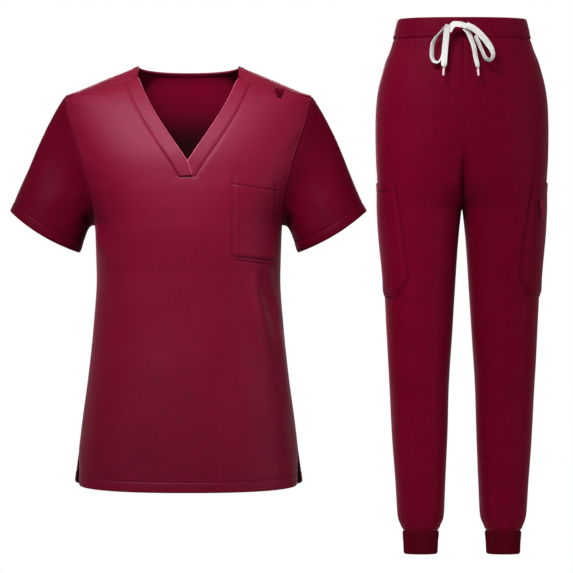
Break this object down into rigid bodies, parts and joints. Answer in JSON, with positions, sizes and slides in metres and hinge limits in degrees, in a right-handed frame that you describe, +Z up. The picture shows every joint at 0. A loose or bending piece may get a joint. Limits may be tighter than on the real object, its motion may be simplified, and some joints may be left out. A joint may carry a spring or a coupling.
{
  "type": "medical scrubs",
  "caption": "Two-piece scrub set filled out as if worn: V-neck short-sleeved top beside jogger trousers with rib cuffs and a tied drawstring waist.",
  "frame": {"origin": "midway between the two neck points of the top, where a wearer's shoulders carry it", "axes": "+Z up, fronts face -Y, +X towards the trousers and the wearer's left"},
  "size_m": [0.9252, 0.2582, 0.9176],
  "materials": {
    "cloth": "smooth matt woven cloth, burgundy",
    "rib": "ribbed knit, darker burgundy",
    "cord": "flat woven cord, white",
    "aglet": "clear plastic tip"
  },
  "bodies": {
    "root": {"top_front": "cloth", "top_back": "cloth", "sleeve_left": "cloth", "sleeve_right": "cloth", "neckband_left": "cloth", "neckband_right": "cloth", "neckband_back": "cloth", "chest_pocket": "cloth", "badge_loop": "cloth", "trouser_front_left": "cloth", "trouser_front_right": "cloth", "trouser_back_left": "cloth", "trouser_back_right": "cloth", "waistband": "cloth", "cargo_pocket_left": "cloth", "cargo_pocket_right": "cloth", "utility_loop": "cloth", "cuff_left": "rib", "cuff_right": "rib", "drawstring_knot": "cord", "drawstring_tail_left": "cord", "drawstring_tail_right": "cord", "drawstring_loop_left": "cord", "drawstring_loop_right": "cord", "aglet_left": "aglet", "aglet_right": "aglet"}
  },
  "joints": []
}
